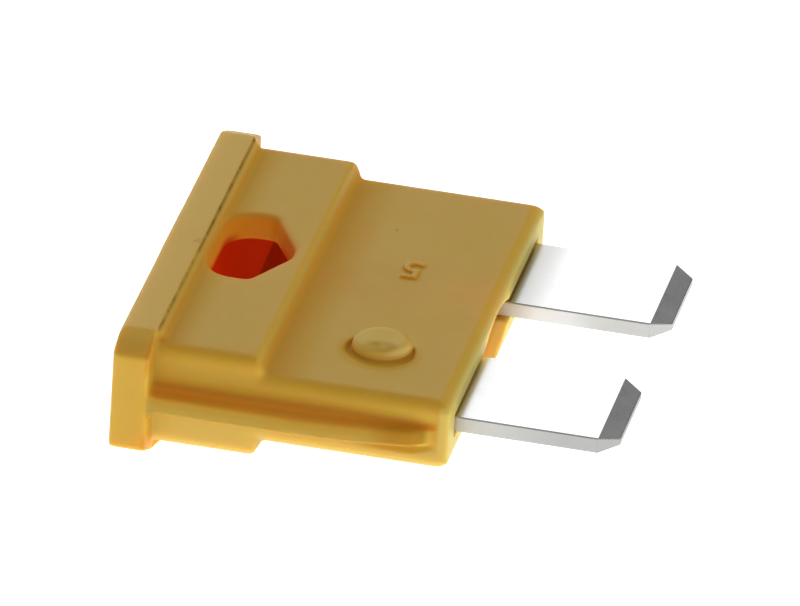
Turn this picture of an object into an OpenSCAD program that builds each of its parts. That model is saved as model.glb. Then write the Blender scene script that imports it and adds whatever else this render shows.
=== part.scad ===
// Automotive blade fuse of the regular size, with a housing that is open at the blade end.
// X runs along the blades: the head is towards -X and the blade tips are towards +X.
// Y runs across the width and Z through the thickness, and every size is in millimetres.
// The origin is the centre of the housing's open end, midway between the two blades.
// Half a turn about X brings the whole fuse back onto itself.

/* [Head] */
// Width of the head bar, the widest part of the fuse
head_w = 19.1; // [18.6:0.1:20]
// Thickness of the head bar
head_t = 5.1; // [4.8:0.1:5.6]
// Length of the head bar along the blades
head_l = 1.45; // [1.2:0.05:1.9]
// Width of the sloping bevel at each end of the head bar
head_bevel_w = 1.3; // [0.6:0.1:1.6]
// Drop of that bevel from the head's flat face
head_bevel_h = 0.6; // [0.3:0.05:0.9]
// Rounding of the head bar's outer corners
head_r = 0.3; // [0.1:0.05:0.45]

/* [Body] */
// Length of the housing from the head's outer face to the open end
housing_l = 12.8; // [12.4:0.1:13.6]
// Width of the body over its side walls
body_w = 17.2; // [16.8:0.1:17.6]
// Thickness of the body over the legs
body_t = 2.84; // [2.6:0.02:3]
// Rounding of the body's long edges
edge_r = 0.5; // [0.1:0.02:0.6]
// Thickness of the shoulder next to the head
shoulder_t = 4.2; // [3.8:0.1:4.4]
// Length of the shoulder from the head to the top of its step
shoulder_l = 3.85; // [3.6:0.05:4.2]
// Run of the sloping walls below the head and at the shoulder's step
slope_l = 0.38; // [0.2:0.02:0.6]
// Rounding, seen from above, of the shoulder's two corners at its step
step_corner_r = 0.5; // [0.2:0.05:0.8]
// Run of the bevel round the open end
mouth_bevel_l = 0.4; // [0.2:0.05:0.6]
// Drop of that bevel
mouth_bevel_h = 0.32; // [0.1:0.02:0.4]

/* [Side flanges] */
// Width over the two side flanges next to the head
flange_w = 19; // [18.4:0.1:19.1]
// How much each flange has drawn in where it ends near the mouth
flange_drop = 0.45; // [0.2:0.05:0.6]
// Thickness of the side flanges
flange_t = 0.74; // [0.5:0.02:0.9]
// Length of each flange beside the head that stays straight
flange_straight_l = 5.3; // [4:0.1:6]
// Height of the groove between a flange and the side wall beyond it
groove_h = 0.46; // [0.3:0.02:0.5]
// Depth of the groove into the side wall
groove_d = 0.08; // [0.06:0.02:0.5]
// Length of the plain band round the open end, where the grooves stop
collar_l = 0.45; // [0.45:0.05:0.8]
// Length of the corner taken off each flange at the collar
flange_corner = 0.85; // [0.3:0.05:1]

/* [Shoulder window] */
// Length of the window along the blades
window_l = 3; // [2.6:0.05:3.2]
// Width of the window across the fuse
window_w = 5.1; // [4.8:0.1:5.5]
// Distance from the head's inner face to the window
window_gap = 0.3; // [0.2:0.05:0.5]
// Length of the part that narrows to the window's nose
window_nose_l = 1.2; // [1:0.05:1.6]
// Width of the window's blunt nose
window_nose_w = 0.7; // [0.4:0.1:1.2]
// Rounding of the window's corners beside the head
window_r = 1.2; // [0.6:0.1:1.3]
// Rounding of the corners where the window starts to narrow
window_corner_r = 0.4; // [0.1:0.05:0.6]
// How far the window stands off the centre line
window_shift = 0.3; // [0:0.05:0.4]
// Thickness of the shoulder's skin around the window
window_skin = 1.1; // [0.7:0.05:1.2]
// How much wider the chamber below is than the window, on every side
chamber_step = 0.15; // [0.05:0.05:0.2]

/* [Blades] */
// Width of each blade
blade_w = 5.05; // [4.8:0.05:5.3]
// Distance between the centre lines of the two blades
blade_pitch = 9.56; // [9.4:0.02:9.8]
// Thickness of the metal
blade_t = 0.63; // [0.5:0.01:0.7]
// Length of the blades beyond the open end
blade_l = 6.2; // [5.5:0.1:7]
// Length of the bevelled tip
tip_l = 0.75; // [0.4:0.05:1.2]
// Thickness left at the very tip
tip_t = 0.28; // [0.15:0.01:0.4]
// Width taken off each side of the blade at the tip
tip_corner = 0.6; // [0.3:0.05:1]

/* [Legs inside the housing] */
// Length of the full-width leg inside the housing
leg_l = 8; // [7.6:0.1:8.4]
// Width of the narrow test tab that goes on towards the head
tab_w = 2.2; // [1.6:0.1:2.4]
// Diameter of the hole in each leg that the housing is staked through
stake_hole_d = 1.9; // [1.6:0.1:2.2]
// Distance from the open end to the middle of that hole
stake_x = 3.46; // [3:0.02:4]

/* [Fuse link] */
// Width of the link strip
link_w = 0.45; // [0.3:0.05:0.6]
// Thickness of the link strip
link_t = 0.22; // [0.15:0.01:0.3]
// Distance between neighbouring runs of the link
link_pitch = 1.5; // [1.2:0.05:1.55]
// Distance from the open end to the link's nearest root
link_x = 2.9; // [2.2:0.1:3.2]
// Distance along the blades between the link's two roots
link_l = 3.9; // [3:0.1:4.4]
// Width of the two roots that join the link to the legs
link_root_w = 0.7; // [0.5:0.05:0.9]

/* [Stakes and their marks] */
// Diameter of the raised button over each stake
button_d = 2.26; // [2:0.02:2.4]
// Height of the button above the body's face
button_h = 0.38; // [0.06:0.01:0.45]
// Bevel round the button's rim
button_bevel = 0.1; // [0.05:0.01:0.2]
// Depth of the dish in the button
button_dish = 0.03; // [0.02:0.01:0.06]
// How much larger the moat's radius is than the button's
moat_w = 0.19; // [0.12:0.01:0.3]
// Depth of the moat
moat_h = 0.14; // [0.05:0.01:0.24]
// How far the moat stands off the button's centre, towards the head
moat_shift = 0.02; // [0:0.01:0.1]
// How far the moat stands off the button's centre, away from the fuse's centre line
moat_side_shift = 0.27; // [0:0.01:0.3]

/* [Probe slots] */
// Width of the test probe's slot in the head
probe_w = 1.9; // [1.5:0.1:2.2]
// Height of that slot
probe_h = 0.9; // [0.7:0.05:1]

/* [Clearances] */
// Gap between the metal's faces and the walls of its slot
face_gap = 0.185; // [0.1:0.005:0.22]
// Gap between the metal's edges and the sides and end of its slot
side_gap = 0.15; // [0.08:0.01:0.2]
// Gap between a stake and the edge of the hole round it
stake_gap = 0.12; // [0.05:0.01:0.2]
// Gap between a test tab's end and the head's inner face
tab_gap = 0.3; // [0.2:0.05:0.6]
// Height of the hollow round the link, above the slots' height at each face
link_room = 0.42; // [0.3:0.01:0.44]

/* [Hidden] */
// How far a cut runs past the face that it opens
past = 0.5;
// How far two shapes run into each other where they join
bite = 0.2;
facets = 48;
arc_steps = 8;

// Places along X
head_out_x = -housing_l;
head_in_x = head_out_x + head_l;
step_top_x = head_in_x + shoulder_l;
step_foot_x = step_top_x + slope_l;
body_start_x = step_foot_x - step_corner_r - bite;
window_x = head_in_x + window_gap;
tab_end_x = head_in_x + tab_gap;
flange_end_x = -collar_l - flange_corner;

// Sizes that follow from those above
leg_y = blade_pitch / 2;
slot_h = blade_t + 2 * face_gap;
slot_w = blade_w + 2 * side_gap;
inner_w = blade_pitch - slot_w;
stake_d = stake_hole_d - 2 * stake_gap;
chamber_h = shoulder_t - 2 * window_skin;
// The link's hollow has arched faces: this is each arch's rise and radius
arch_rise = link_room;
arch_r = (inner_w * inner_w / 4 + arch_rise * arch_rise) / (2 * arch_rise);

// ---- Helpers -------------------------------------------------------------------------

// A section drawn in the YZ plane, run along X from x0 to x1
module along_x(x0, x1) {
    translate([x0, 0, 0]) rotate([90, 0, 90]) linear_extrude(height = x1 - x0) children();
}

// A profile drawn in the XZ plane, run along Y over width w and centred
module along_y(w) {
    rotate([90, 0, 0]) linear_extrude(height = w, center = true) children();
}

// Its children, and again half a turn about X from there
module both_faces() {
    children();
    rotate([180, 0, 0]) children();
}

// Its children, and again mirrored across the fuse
module both_sides() {
    children();
    mirror([0, 1, 0]) children();
}

// Its children, and again mirrored through the thickness
module above_and_below() {
    children();
    mirror([0, 0, 1]) children();
}

// A rectangle about the origin with all four corners rounded
module rounded_rectangle(w, h, r) {
    square([w - 2 * r, h], center = true);
    square([w, h - 2 * r], center = true);
    for (sx = [-1, 1], sy = [-1, 1])
        translate([sx * (w / 2 - r), sy * (h / 2 - r)]) circle(r = r, $fn = facets);
}

// A rectangle from x0 to x1 whose two corners at x0 are rounded
module end_rounded_rectangle(x0, x1, h, r) {
    translate([x0 + r, -h / 2]) square([x1 - x0 - r, h]);
    translate([x0, r - h / 2]) square([r + bite / 2, h - 2 * r]);
    for (s = [-1, 1]) translate([x0 + r, s * (h / 2 - r)]) circle(r = r, $fn = facets);
}

// Points along an arc, with both its ends
function arc(x, y, r, from, to) =
    [for (i = [0 : arc_steps]) let (a = from + (to - from) * i / arc_steps) [x + r * cos(a), y + r * sin(a)]];

// Points with the last one first
function backwards(points) = [for (i = [len(points) - 1 : -1 : 0]) points[i]];

// The same points mirrored across the fuse
function across(points) = [for (p = points) [p[0], -p[1]]];

// ---- Housing, outside ----------------------------------------------------------------

module head_bar() {
    intersection() {
        along_y(head_w) end_rounded_rectangle(head_out_x, head_in_x, head_t, head_r);
        translate([0, 0, -head_t / 2]) linear_extrude(height = head_t)
            end_rounded_rectangle(head_out_x, head_in_x, head_w, head_r);
        along_x(head_out_x, head_in_x) head_section();
    }
}

// The head bar seen from its outer end, with a bevel towards each narrow end
module head_section() {
    polygon([
        for (q = [[1, 1], [-1, 1], [-1, -1], [1, -1]])
            for (i = q[0] * q[1] > 0 ? [0, 1] : [1, 0])
                i == 0 ? [q[0] * head_w / 2, q[1] * (head_t / 2 - head_bevel_h)]
                       : [q[0] * (head_w / 2 - head_bevel_w), q[1] * head_t / 2]
    ]);
}

// Sloping wall from the head's flat face down to the shoulder
module head_foot() {
    along_y(body_w - 2 * edge_r)
        polygon([
            [head_in_x - bite, -head_t / 2],
            [head_in_x, -head_t / 2],
            [head_in_x + slope_l, -shoulder_t / 2],
            [head_in_x + slope_l, shoulder_t / 2],
            [head_in_x, head_t / 2],
            [head_in_x - bite, head_t / 2]
        ]);
}

// Thick part next to the head, which slopes down to the body at its far end
module shoulder() {
    intersection() {
        along_x(head_in_x - bite, step_foot_x) rounded_rectangle(body_w, shoulder_t, edge_r);
        along_y(body_w)
            polygon([
                [head_in_x - bite, -shoulder_t / 2],
                [step_top_x, -shoulder_t / 2],
                [step_foot_x, -body_t / 2],
                [step_foot_x, body_t / 2],
                [step_top_x, shoulder_t / 2],
                [head_in_x - bite, shoulder_t / 2]
            ]);
        translate([0, 0, -shoulder_t / 2]) linear_extrude(height = shoulder_t) mirror([1, 0])
            end_rounded_rectangle(-step_foot_x, bite - head_in_x, body_w, step_corner_r);
    }
}

// Thin part over the legs, bevelled round the open end
module body() {
    intersection() {
        along_x(body_start_x, 0) rounded_rectangle(body_w, body_t, edge_r);
        along_y(body_w)
            polygon([
                [body_start_x, -body_t / 2],
                [-mouth_bevel_l, -body_t / 2],
                [0, mouth_bevel_h - body_t / 2],
                [0, body_t / 2 - mouth_bevel_h],
                [-mouth_bevel_l, body_t / 2],
                [body_start_x, body_t / 2]
            ]);
    }
}

// How far the flange's edge has drawn in at a place k, which runs from 0 to 1 along its curve
function flange_y(k) = flange_w / 2 - flange_drop * k * k;

// Thin rib along the middle of one narrow side, drawn in towards the mouth
module flange() {
    curve_x = head_in_x + flange_straight_l;
    translate([0, 0, -flange_t / 2]) linear_extrude(height = flange_t)
        polygon(concat(
            [[head_in_x - bite, body_w / 2 - groove_d - bite], [head_in_x - bite, flange_w / 2]],
            [for (i = [0 : arc_steps])
                let (k = i / arc_steps) [curve_x + k * (flange_end_x - curve_x), flange_y(k)]],
            [[-collar_l, body_w / 2 - bite / 2], [-collar_l, body_w / 2 - groove_d - bite]]
        ));
}

// Groove that parts the flange from the side wall above it
module groove() {
    wall_y = body_w / 2;
    along_x(head_in_x, -collar_l)
        polygon([
            [wall_y - groove_d, flange_t / 2],
            [wall_y + past, flange_t / 2],
            [wall_y + past, flange_t / 2 + groove_h],
            [wall_y, flange_t / 2 + groove_h],
            [wall_y - groove_d, flange_t / 2 + groove_h * 0.3]
        ]);
}

// ---- Housing, openings ---------------------------------------------------------------

// Outline of the shoulder's window, or of the chamber below it when it is grown
module window_outline(grow = 0) {
    half_w = window_w / 2 + grow;
    x0 = window_x - grow;
    x1 = window_x + window_l + grow;
    r = window_r + grow;
    q = window_corner_r;
    turn = atan2(half_w - window_nose_w / 2, window_nose_l);
    side = concat(
        arc(x0 + r, half_w - r, r, 180, 90),
        arc(x1 - window_nose_l - q * tan(turn / 2), half_w - q, q, 90, 90 - turn),
        [[x1, window_nose_w / 2]]
    );
    translate([0, window_shift]) polygon(concat(side, backwards(across(side))));
}

module window() {
    translate([0, 0, chamber_h / 2 - bite]) linear_extrude(height = window_skin + bite + past)
        window_outline();
}

// Space between the two windows
module chamber() {
    translate([0, 0, -chamber_h / 2]) linear_extrude(height = chamber_h) {
        window_outline(chamber_step);
        mirror([0, 1]) window_outline(chamber_step);
    }
}

// Flat slot for one leg and its tab, open at the mouth
module leg_slot() {
    translate([-leg_l - side_gap, leg_y - slot_w / 2, -slot_h / 2])
        cube([leg_l + side_gap + past, slot_w, slot_h]);
    tab_slot_w = tab_w + 2 * side_gap;
    translate([tab_end_x - side_gap, leg_y - tab_slot_w / 2, -slot_h / 2])
        cube([-leg_l - tab_end_x + side_gap, tab_slot_w, slot_h]);
}

// Hollow between the legs, with arched faces, from the chamber to the mouth
module link_hollow() {
    along_x(step_top_x - window_nose_l / 2, past)
        intersection() {
            square([inner_w + bite, slot_h + 2 * arch_rise], center = true);
            translate([0, slot_h / 2 + arch_rise - arch_r]) circle(r = arch_r, $fn = 4 * facets);
            translate([0, arch_r - slot_h / 2 - arch_rise]) circle(r = arch_r, $fn = 4 * facets);
        }
}

// Hole in the head through which a test probe reaches the end of a tab
module probe_slot() {
    translate([head_out_x - past, leg_y - probe_w / 2, -probe_h / 2])
        cube([head_l + tab_gap + past, probe_w, probe_h]);
}

// ---- Housing, stakes -----------------------------------------------------------------

// Hollow cut beside the button that covers the stake of the leg on the -Y side
module moat() {
    translate([-stake_x, -leg_y, body_t / 2 - moat_h])
        difference() {
            translate([-moat_shift, -moat_side_shift])
                cylinder(d = button_d + 2 * moat_w, h = moat_h + past, $fn = facets);
            translate([0, 0, -past]) cylinder(d = button_d, h = moat_h + 3 * past, $fn = facets);
        }
}

// Button with a bevelled rim and a shallow dish, on the face over that stake
module button() {
    top = moat_h + button_h;
    r = button_d / 2;
    translate([-stake_x, -leg_y, body_t / 2 - moat_h])
        rotate_extrude($fn = facets)
            polygon([
                [0, 0], [r, 0], [r, top - button_bevel], [r - button_bevel, top],
                [r - 1.5 * button_bevel, top], [0, top - button_dish]
            ]);
}

// Column of plastic that fills the leg's hole and joins the slot's two walls
module stake() {
    translate([-stake_x, -leg_y, -slot_h / 2 - bite])
        cylinder(d = stake_d, h = slot_h + 2 * bite, $fn = facets);
}

module housing() {
    color([0.8, 0.62, 0.28]) {
        difference() {
            union() {
                head_bar();
                difference() {
                    union() {
                        head_foot();
                        shoulder();
                        body();
                    }
                    both_sides() above_and_below() groove();
                }
                both_sides() flange();
            }
            both_faces() window();
            chamber();
            both_sides() leg_slot();
            both_sides() probe_slot();
            link_hollow();
            both_faces() moat();
        }
        both_faces() button();
        both_faces() stake();
    }
}

// ---- Fuse element --------------------------------------------------------------------

// Plan of one leg on the +Y side: test tab, wide leg and blade with its corners taken off
module leg_plan() {
    translate([0, leg_y])
        union() {
            polygon([
                [-leg_l, -blade_w / 2],
                [blade_l - tip_l, -blade_w / 2],
                [blade_l, tip_corner - blade_w / 2],
                [blade_l, blade_w / 2 - tip_corner],
                [blade_l - tip_l, blade_w / 2],
                [-leg_l, blade_w / 2]
            ]);
            translate([tab_end_x, -tab_w / 2]) square([-leg_l - tab_end_x + bite, tab_w]);
        }
}

// One leg: the plan cut to the metal's thickness, thinned at the tip and holed for its stake
module leg() {
    difference() {
        intersection() {
            translate([0, 0, -blade_t / 2]) linear_extrude(height = blade_t) leg_plan();
            along_y(2 * (leg_y + blade_w))
                polygon([
                    [tab_end_x - past, -blade_t / 2],
                    [blade_l - tip_l, -blade_t / 2],
                    [blade_l, -tip_t / 2],
                    [blade_l, tip_t / 2],
                    [blade_l - tip_l, blade_t / 2],
                    [tab_end_x - past, blade_t / 2]
                ]);
        }
        translate([-stake_x, leg_y, -blade_t]) cylinder(d = stake_hole_d, h = 2 * blade_t, $fn = facets);
    }
}

// Half ring that turns the link from one run to the next, open towards +X
module link_turn() {
    difference() {
        circle(d = link_pitch + link_w, $fn = facets);
        circle(d = link_pitch - link_w, $fn = facets);
        translate([0, -link_pitch]) square(2 * link_pitch);
    }
}

// One run of the link between two places along X
module link_run(x0, x1, y) {
    translate([x0, y - link_w / 2]) square([x1 - x0, link_w]);
}

// Thin strip in the shape of an S that melts at the rated current
module link() {
    near_x = -link_x;
    far_x = near_x - link_l;
    turn_r = (link_pitch + link_w) / 2;
    root_y = leg_y - blade_w / 2;
    far_turn_x = far_x - link_root_w / 2 + turn_r;
    near_turn_x = near_x + link_root_w / 2 - turn_r;
    translate([0, 0, -link_t / 2]) linear_extrude(height = link_t) {
        link_run(far_turn_x, near_x, -link_pitch);
        link_run(far_turn_x, near_turn_x, 0);
        link_run(far_x, near_turn_x, link_pitch);
        translate([far_turn_x, -link_pitch / 2]) link_turn();
        translate([near_turn_x, link_pitch / 2]) rotate(180) link_turn();
        translate([near_x - link_root_w / 2, -root_y - bite])
            square([link_root_w, root_y + bite - link_pitch + link_w / 2]);
        translate([far_x - link_root_w / 2, link_pitch - link_w / 2])
            square([link_root_w, root_y + bite - link_pitch + link_w / 2]);
    }
}

module fuse_element() {
    color([0.82, 0.83, 0.84])
        union() {
            both_sides() leg();
            link();
        }
}

housing();
fuse_element();
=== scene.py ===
# Automotive blade fuse: a one-piece housing of clear amber plastic, moulded round a stamped and
# plated fuse element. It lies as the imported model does, with its blades along X and its broad
# faces towards Z, and its overall size comes from that model. The places below repeat sizes of
# the part's source. Lengths are in millimetres until a piece is finished, and in metres after.
import math

import bmesh
import bpy
import numpy as np
from mathutils import Matrix, Vector, noise


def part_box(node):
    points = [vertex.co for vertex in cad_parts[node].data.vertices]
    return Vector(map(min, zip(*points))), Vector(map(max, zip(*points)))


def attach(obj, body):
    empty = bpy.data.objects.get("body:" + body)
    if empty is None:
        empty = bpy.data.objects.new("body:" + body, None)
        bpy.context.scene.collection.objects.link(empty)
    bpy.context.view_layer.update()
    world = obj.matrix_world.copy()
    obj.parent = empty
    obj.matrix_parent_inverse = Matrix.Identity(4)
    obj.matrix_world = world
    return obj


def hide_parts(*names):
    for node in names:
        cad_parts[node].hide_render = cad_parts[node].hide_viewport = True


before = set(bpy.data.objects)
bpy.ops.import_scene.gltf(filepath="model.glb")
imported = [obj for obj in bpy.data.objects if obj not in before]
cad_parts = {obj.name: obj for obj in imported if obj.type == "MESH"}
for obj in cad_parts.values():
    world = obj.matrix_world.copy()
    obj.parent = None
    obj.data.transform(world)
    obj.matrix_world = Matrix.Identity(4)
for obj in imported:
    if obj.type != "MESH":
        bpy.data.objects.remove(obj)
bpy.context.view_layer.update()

MM = 0.001
SCENE = bpy.context.scene
MERGE_DISTANCE = 1e-4
WEIGHT_LEVELS = 20

housing_lo, housing_hi = (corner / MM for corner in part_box("housing"))
_, element_hi = (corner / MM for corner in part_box("fuse_element"))


# ---- Places on the fuse --------------------------------------------------------------------

HEAD_X = housing_lo.x
HEAD_INNER_X = -11.35
HEAD_TOP = housing_hi.z
HEAD_FACE_Z = HEAD_TOP - 0.1
SHOULDER_TOP = 2.1
BODY_TOP = 1.42
BUTTON = (-3.46, -4.78)
BUTTON_R = 1.13
BUTTON_TOP = 1.8
DISH = (-3.36, -5.36)
MOAT = (-3.48, -5.05)
MOAT_R = 1.32
FLECK = (-4.95, 4.57)
WINDOW_X = (-11.05, -8.05)
WINDOW_Y = 0.3
WINDOW_HALF_WIDTH = 2.55
WINDOW_CORNER_R = 1.2
# The slanting edges of the window's nose: the edge's outward direction, and its distance
NOSE_OUTWARD = (0.8779, 0.4789)
NOSE_DISTANCE = 6.899
CHAMBER_TOP = 1.0
# The chamber's far corner: where it lies at one height, and how it leans
CHAMBER_CORNER_X = -9.38
CHAMBER_CORNER_Z = 0.96
CHAMBER_LEAN = 0.32
COLLAR_X = -0.5
FLANGE_TOP = 0.38
FLANGE_CURVE_X = (-6.05, -1.3)
FLANGE_DROP = 0.45


# ---- Mesh helpers --------------------------------------------------------------------------

def new_object(name, mesh):
    piece = bpy.data.objects.new(name, mesh)
    SCENE.collection.objects.link(piece)
    return piece


def bmesh_of(mesh):
    shape = bmesh.new()
    shape.from_mesh(mesh)
    return shape


def mesh_of(shape, name="working"):
    mesh = bpy.data.meshes.new(name)
    shape.to_mesh(mesh)
    shape.free()
    return mesh


def merged_copy(node):
    """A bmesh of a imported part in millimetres, with the corners of its loose triangles joined."""
    shape = bmesh_of(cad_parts[node].data)
    bmesh.ops.scale(shape, vec=(1 / MM,) * 3, verts=shape.verts)
    bmesh.ops.remove_doubles(shape, verts=shape.verts, dist=MERGE_DISTANCE)
    bmesh.ops.recalc_face_normals(shape, faces=shape.faces)
    return shape


def through_modifiers(mesh, modifiers, groups=None):
    """The mesh that comes out of the modifiers, each a kind and its settings."""
    worker = new_object("working", mesh)
    for name, weights in (groups or {}).items():
        add_group(worker, name, weights)
    for kind, settings in modifiers:
        modifier = worker.modifiers.new(kind, kind)
        for key, value in settings.items():
            setattr(modifier, key, value)
    made = bpy.data.meshes.new_from_object(
        worker.evaluated_get(bpy.context.evaluated_depsgraph_get())
    )
    bpy.data.objects.remove(worker)
    return made


def add_group(worker, name, weights):
    """A vertex group from an array of weights, in a few levels."""
    group = worker.vertex_groups.new(name=name)
    levels = np.round(np.clip(weights, 0, 1) * WEIGHT_LEVELS).astype(int)
    for level in range(1, WEIGHT_LEVELS + 1):
        chosen = np.flatnonzero(levels == level)
        if len(chosen):
            group.add(chosen.tolist(), level / WEIGHT_LEVELS, "REPLACE")


def places_of(mesh):
    places = np.empty(len(mesh.vertices) * 3, np.float32)
    mesh.vertices.foreach_get("co", places)
    return places.reshape(-1, 3)


def rise(value, start, end):
    """Goes from 0 at start to 1 at end, with soft ends."""
    t = np.clip((value - start) / (end - start), 0, 1)
    return t * t * (3 - 2 * t)


def finished(name, shape, node, material):
    """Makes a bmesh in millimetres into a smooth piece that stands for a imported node."""
    bmesh.ops.scale(shape, vec=(MM,) * 3, verts=shape.verts)
    for face in shape.faces:
        face.smooth = True
    piece = new_object(name, mesh_of(shape, name))
    piece.data.materials.append(material)
    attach(piece, "root")
    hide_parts(node)
    return piece


def number_solid(digits, height, depth, place):
    """Raised or cutting digits as a closed solid: place turns and moves them from the XY plane."""
    curve = bpy.data.curves.new("number", "FONT")
    curve.body = digits
    curve.size = height * FONT_SIZE_PER_HEIGHT
    curve.align_x = "CENTER"
    curve.align_y = "CENTER"
    curve.offset = STROKE_GAIN
    curve.extrude = depth / 2
    text = new_object("number", curve)
    mesh = bpy.data.meshes.new_from_object(
        text.evaluated_get(bpy.context.evaluated_depsgraph_get())
    )
    bpy.data.objects.remove(text)
    mesh.transform(place)
    return mesh


# ---- Housing -------------------------------------------------------------------------------

# The shell is remeshed finely, and its edges are rounded by smoothing: SETTLING takes away the
# steps of the grid everywhere, MELTING rounds the plain edges and BEADING the two side flanges.
SHELL_VOXEL = 0.05
SETTLING = 6
MELTING = 30
BEADING = 50
SHELL_TRIANGLES = 160000
DISH_DEPTH = 0.05
DISH_R = 0.62
RIM_FALL = 0.14

RATING = "5"
FONT_SIZE_PER_HEIGHT = 1.37
STROKE_GAIN = 0.01
NUMBER_HEIGHT = 1.35
NUMBER_PLACE = (-3.69, 1.57)
NUMBER_RELIEF = 0.1
END_NUMBER_HEIGHT = 2.6
END_NUMBER_DEPTH = 0.16

SEAM_X = -11.4
SEAM_HALF_WIDTH = 0.035
SEAM_DEPTH = 0.025
SEAM_HALF_LENGTH = 8.2
SEAM_FADE = 0.8
SEAM_STEP = 0.3


def marked_housing():
    """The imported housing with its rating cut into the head's end and raised on one face."""
    outward = Matrix.Rotation(math.radians(-90), 4, "Y") @ Matrix.Rotation(math.radians(-90), 4, "Z")
    cutter = new_object("cutter", number_solid(
        RATING, END_NUMBER_HEIGHT, 2 * END_NUMBER_DEPTH, Matrix.Translation((HEAD_X, 0, 0)) @ outward
    ))
    cut = through_modifiers(mesh_of(merged_copy("housing")), [
        ("BOOLEAN", {"operation": "DIFFERENCE", "solver": "EXACT", "object": cutter}),
    ])
    bpy.data.objects.remove(cutter)
    shape = bmesh_of(cut)
    shape.from_mesh(number_solid(
        RATING, NUMBER_HEIGHT, 2 * NUMBER_RELIEF,
        Matrix.Translation((*NUMBER_PLACE, BODY_TOP)) @ Matrix.Rotation(math.pi, 4, "Z"),
    ))
    bmesh.ops.remove_doubles(shape, verts=shape.verts, dist=MERGE_DISTANCE)
    return mesh_of(shape)


def away_from(place, x, y, z):
    """How far places lie from an axis through one face, the same on both faces."""
    return np.hypot(x - place[0], y * np.sign(z) - place[1])


def dish_buttons(mesh):
    """Sinks a dent into each button and rounds its rim off."""
    places = places_of(mesh)
    x, y, z = places.T
    away = away_from(BUTTON, x, y, z)
    from_dish = away_from(DISH, x, y, z)
    share = np.clip((np.abs(z) - BODY_TOP - 0.05) / (BUTTON_TOP - BODY_TOP - 0.05), 0, 1)
    share[away > BUTTON_R + 0.1] = 0
    fall = DISH_DEPTH * (1 - rise(from_dish, 0.0, DISH_R)) + RIM_FALL * rise(away, 0.8, 1.2)
    places[:, 2] -= np.sign(z) * share * fall
    mesh.vertices.foreach_set("co", places.ravel())
    mesh.update()


def softening(places):
    """How much each place of the shell is melted and beaded: small forms are kept crisp."""
    x, y, z = places.T
    across, height = np.abs(y), np.abs(z)
    from_button = away_from(BUTTON, x, y, z)
    near_button = (1 - rise(from_button, 1.7, 2.1)) * rise(height, 0.9, 1.1)
    near_button *= 1 - 0.8 * rise(height, BODY_TOP + 0.08, BODY_TOP + 0.16)
    near_button *= 1 - 0.85 * rise(from_button, 1.28, 1.4)
    from_number = np.maximum(
        np.abs(x - NUMBER_PLACE[0]) - 0.6, np.abs(y - NUMBER_PLACE[1]) - NUMBER_HEIGHT / 2
    )
    near_number = (1 - rise(from_number, 0.15, 0.5)) * rise(z, 1.1, 1.3)
    end_number = (1 - rise(across, 1.6, 2.0)) * (1 - rise(x, HEAD_X + 0.2, HEAD_X + 0.4))
    at_mouth = 0.75 * rise(x, -0.35, -0.15) * (1 - rise(height, 0.6, 0.9))
    inside = 0.5 * (1 - rise(height, 0.5, 0.75)) * (1 - rise(across, 7.6, 7.9))
    seam_edge = 0.8 * (1 - rise(np.abs(x - HEAD_INNER_X), 0.12, 0.3)) * rise(height, 2.3, 2.45)
    seam_edge *= 1 - rise(across, 7.9, 8.3)
    kept = np.maximum.reduce([near_button, near_number, end_number, at_mouth, inside, seam_edge])
    flange_edge = rise(across, 7.9, 8.3) * (1 - rise(height, 0.75, 1.05)) * rise(x, -11.5, -11.1)
    from_window = np.maximum(
        np.maximum(WINDOW_X[0] - x, x - WINDOW_X[1]),
        np.abs(y * np.sign(z) - WINDOW_Y) - WINDOW_HALF_WIDTH,
    )
    window_edge = (1 - rise(from_window, 0.15, 0.35)) * rise(height, 1.75, 1.95)
    return 1 - kept, np.maximum(flange_edge, window_edge)


def slice_faces(shape, faces, place, normal):
    """Cuts some faces of a bmesh along a plane."""
    edges = {e for f in faces for e in f.edges}
    verts = {v for f in faces for v in f.verts}
    bmesh.ops.bisect_plane(
        shape, geom=[*faces, *edges, *verts], dist=1e-5, plane_co=place, plane_no=normal
    )


def cut_seam(shape):
    """Cuts the fine parting line along the head's two flat faces, uneven as flash leaves it."""
    for offset in (-SEAM_HALF_WIDTH, 0, SEAM_HALF_WIDTH):
        faces = [f for f in shape.faces if abs(f.calc_center_median().z) > HEAD_FACE_Z
                 and min(v.co.x for v in f.verts) - 0.1 < SEAM_X < max(v.co.x for v in f.verts) + 0.1]
        slice_faces(shape, faces, (SEAM_X + offset, 0, 0), (1, 0, 0))

    def on_line(face):
        middle = face.calc_center_median()
        return abs(middle.z) > HEAD_FACE_Z and abs(middle.x - SEAM_X) < SEAM_HALF_WIDTH

    count = int(SEAM_HALF_LENGTH / SEAM_STEP)
    for index in range(-count, count + 1):
        y = index * SEAM_STEP
        faces = [f for f in shape.faces if on_line(f)
                 and min(v.co.y for v in f.verts) < y < max(v.co.y for v in f.verts)]
        slice_faces(shape, faces, (0, y, 0), (0, 1, 0))
    for vert in shape.verts:
        if abs(vert.co.x - SEAM_X) < 1e-3 and abs(vert.co.z) > HEAD_FACE_Z:
            fade = min(1, max(0, (SEAM_HALF_LENGTH - abs(vert.co.y)) / SEAM_FADE))
            uneven = noise.noise(Vector((vert.co.y * 1.7, 3.1, math.copysign(5, vert.co.z))))
            depth = SEAM_DEPTH * fade * (0.85 + 0.5 * uneven)
            vert.co.z -= math.copysign(max(0, depth), vert.co.z)
            vert.co.x += SEAM_HALF_WIDTH * 0.5 * uneven * fade
    for edge in shape.edges:
        middle = (edge.verts[0].co + edge.verts[1].co) / 2
        if abs(abs(middle.x - SEAM_X) - SEAM_HALF_WIDTH) < 2e-3 and abs(middle.z) > HEAD_FACE_Z:
            along = edge.verts[1].co - edge.verts[0].co
            edge.smooth = abs(along.x) > 1e-3


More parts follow.
